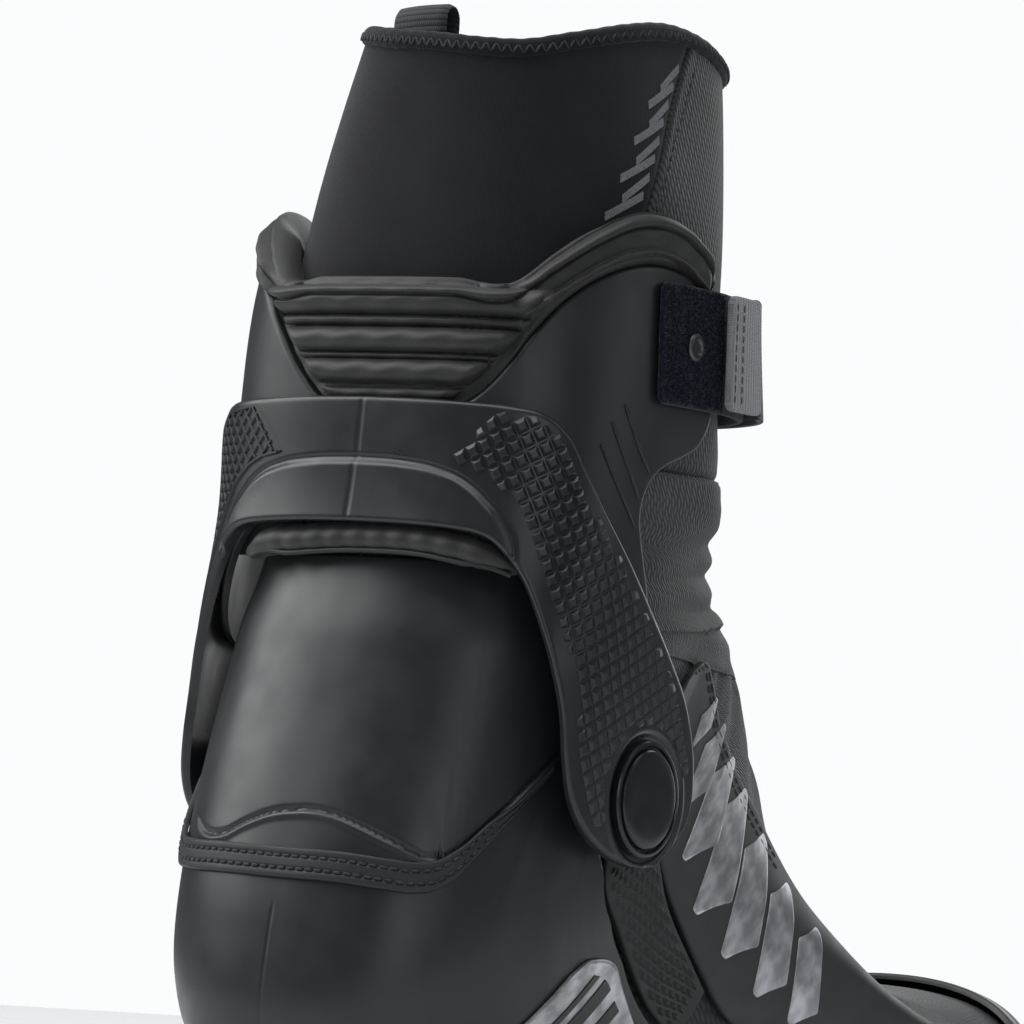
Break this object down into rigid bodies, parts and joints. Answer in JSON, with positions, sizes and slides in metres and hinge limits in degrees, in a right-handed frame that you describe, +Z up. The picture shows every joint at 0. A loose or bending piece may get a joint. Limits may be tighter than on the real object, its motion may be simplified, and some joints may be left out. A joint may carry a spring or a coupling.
{
  "type": "cross country skate boot",
  "caption": "Ankle-high cross country skate boot, right foot: softshell upper on a stiff sole, hinged cuff with side arms, stretch sleeve, cuff strap and a steel toe bar for the binding.",
  "frame": {"origin": "on the ground, under the cuff's pivot axis, in the middle of the heel sole's flat face", "axes": "+Z up, +Y towards the toe, +X towards the outer side of the foot"},
  "size_m": [0.1057, 0.2917, 0.2493],
  "materials": {
    "vamp": "matt softshell",
    "upper": "matt softshell",
    "heel_counter": "satin",
    "heel_trim": "matt, stitched",
    "outer_side_panel": "satin",
    "inner_side_panel": "satin",
    "outer_grip": "matt, embossed",
    "inner_grip": "matt, embossed",
    "heel_badge": "metallised",
    "toe_cap": "satin",
    "lasting_board": "fibre board",
    "insole": "foam under fabric",
    "tongue": "foam under fabric",
    "laces": "woven cord",
    "lace_lock": "satin",
    "zip_chain": "moulded teeth on tape",
    "chassis": "satin, fibre filled",
    "heel_sole": "matt",
    "front_sole": "matt",
    "toe_bar_bracket": "plain",
    "toe_bar": "polished",
    "pivot_cap_outer": "satin",
    "pivot_cap_inner": "satin",
    "pivot_washer_outer": "plain",
    "pivot_washer_inner": "plain",
    "ankle_gaiter": "matt stretch softshell",
    "cuff_frame": "satin, part textured",
    "cuff_shell": "satin",
    "collar_pad": "foam under fabric",
    "lower_roll": "foam under fabric",
    "ankle_sleeve": "knit on neoprene",
    "front_panel": "stretch fabric",
    "top_binding": "elastic tape",
    "pull_loop": "webbing",
    "strap_loop_band": "looped pile",
    "strap_keeper": "webbing",
    "strap_rivet_outer": "plain",
    "strap_rivet_inner": "plain",
    "strap_band": "webbing",
    "strap_tab": "ribbed webbing",
    "zip_slider": "dark",
    "zip_pull": "matt",
    "lace_lock_button": "satin"
  },
  "bodies": {
    "boot": {"vamp": "vamp", "upper": "upper", "heel_counter": "heel_counter", "heel_trim": "heel_trim", "outer_side_panel": "outer_side_panel", "inner_side_panel": "inner_side_panel", "outer_grip": "outer_grip", "inner_grip": "inner_grip", "heel_badge": "heel_badge", "toe_cap": "toe_cap", "lasting_board": "lasting_board", "insole": "insole", "tongue": "tongue", "laces": "laces", "lace_lock": "lace_lock", "zip_chain": "zip_chain", "chassis": "chassis", "heel_sole": "heel_sole", "front_sole": "front_sole", "toe_bar_bracket": "toe_bar_bracket", "toe_bar": "toe_bar", "pivot_cap_outer": "pivot_cap_outer", "pivot_cap_inner": "pivot_cap_inner", "pivot_washer_outer": "pivot_washer_outer", "pivot_washer_inner": "pivot_washer_inner", "ankle_gaiter": "ankle_gaiter"},
    "cuff": {"cuff_frame": "cuff_frame", "cuff_shell": "cuff_shell", "collar_pad": "collar_pad", "lower_roll": "lower_roll", "ankle_sleeve": "ankle_sleeve", "front_panel": "front_panel", "top_binding": "top_binding", "pull_loop": "pull_loop", "strap_loop_band": "strap_loop_band", "strap_keeper": "strap_keeper", "strap_rivet_outer": "strap_rivet_outer", "strap_rivet_inner": "strap_rivet_inner"},
    "strap": {"strap_band": "strap_band", "strap_tab": "strap_tab"},
    "zip": {"zip_slider": "zip_slider"},
    "zip_tab": {"zip_pull": "zip_pull"},
    "lock_button": {"lace_lock_button": "lace_lock_button"}
  },
  "joints": [
    {"name": "cuff_flex", "type": "hinge", "parent": "boot", "child": "cuff", "pos_m": [0, 0, 0.088], "axis": [-1, 0, 0], "range_deg": [-4, 18], "stiffness_Nm_per_rad": 3, "deforming": ["ankle_gaiter"]},
    {"name": "strap_open", "type": "hinge", "parent": "cuff", "child": "strap", "pos_m": [-0.05068, 0.0104, 0.1805], "axis": [0, 0, 1], "range_deg": [0, 100]},
    {"name": "zip_slide", "type": "hinge", "parent": "boot", "child": "zip", "pos_m": [0, 0.18124, 0.14655], "axis": [1, 0, 0], "range_deg": [0, 37]},
    {"name": "zip_tab_swing", "type": "hinge", "parent": "zip", "child": "zip_tab", "pos_m": [0, 0.09536, 0.11344], "axis": [1, 0, 0], "range_deg": [0, 110]},
    {"name": "lock_press", "type": "slide", "parent": "boot", "child": "lock_button", "axis": [0, 0.4603, -0.8878], "range_m": [0, 0.0015], "stiffness_N_per_m": 400}
  ]
}
